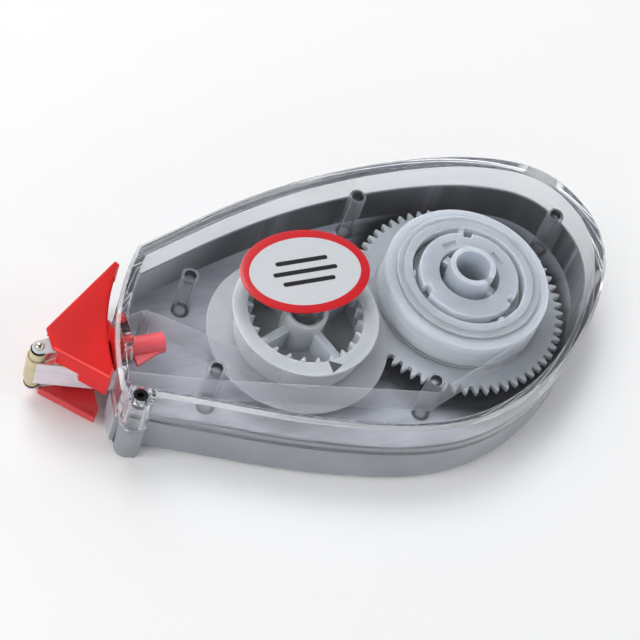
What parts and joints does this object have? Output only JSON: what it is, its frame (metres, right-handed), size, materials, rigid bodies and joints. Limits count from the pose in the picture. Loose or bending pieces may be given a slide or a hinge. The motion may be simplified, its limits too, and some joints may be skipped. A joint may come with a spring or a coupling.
{
  "type": "correction tape roller",
  "caption": "Handheld correction tape roller: clear teardrop case over geared reels, with a rocking red applicator head and tip roller.",
  "frame": {"origin": "on the flat back face of the case, at the axis of the supply reel", "axes": "-X towards the applicator tip, +Z through the thickness from the back to the clear cover, +Y to the far side of the case"},
  "size_m": [0.0778, 0.0399, 0.0123],
  "materials": {
    "shell_grey": "glossy grey moulded plastic",
    "cover_clear": "clear polished plastic",
    "plug_black": "black moulded plug",
    "milky": "translucent milky plastic",
    "ring_rubber": "black rubber",
    "tape_white": "matt white correction tape",
    "backing": "used backing film",
    "head_red": "satin red plastic",
    "clip_steel": "spring steel",
    "yoke_white": "pale plastic",
    "roller_tan": "tan soft plastic",
    "badge": "printed label, red frame on a pale field"
  },
  "bodies": {
    "case": {"back_shell": "shell_grey", "front_cover": "cover_clear", "corner_plug": "plug_black", "badge": "badge", "supply_tape_run": "tape_white", "return_tape_run": "backing"},
    "supply_drive": {"supply_gear": "milky", "friction_clutch": "milky", "friction_ring": "ring_rubber"},
    "supply_reel": {"supply_spool": "milky", "supply_tape_roll": "tape_white"},
    "takeup_reel": {"takeup_gear": "milky", "takeup_spool": "milky", "takeup_tape_roll": "backing"},
    "head": {"head_frame": "head_red", "head_clip": "clip_steel", "roller_yoke": "yoke_white", "roller_collars": "yoke_white", "tip_pin": "clip_steel", "head_tape_loop": "tape_white"},
    "tip_roller": {"tip_roller": "roller_tan"}
  },
  "joints": [
    {"name": "supply_drive_spin", "type": "hinge", "parent": "case", "child": "supply_drive", "pos_m": [0, 0, 0.006], "axis": [0, 0, 1], "continuous": true},
    {"name": "supply_slip", "type": "hinge", "parent": "supply_drive", "child": "supply_reel", "pos_m": [0, 0, 0.006], "axis": [0, 0, 1], "continuous": true},
    {"name": "takeup_spin", "type": "hinge", "parent": "case", "child": "takeup_reel", "pos_m": [-0.02318, -0.0013, 0.006], "axis": [0, 0, 1], "continuous": true},
    {"name": "head_rock", "type": "hinge", "parent": "case", "child": "head", "pos_m": [-0.04838, -0.0006, 0.006], "axis": [1, 0, 0], "range_deg": [-12, 12], "stiffness_Nm_per_rad": 0.0005},
    {"name": "tip_roll", "type": "hinge", "parent": "head", "child": "tip_roller", "pos_m": [-0.05758, -0.0006, 0.006], "axis": [0, 0, 1], "continuous": true}
  ],
  "couplings": [
    {"joint": "takeup_spin", "follows": "supply_drive_spin", "ratio": -1.5122}
  ]
}
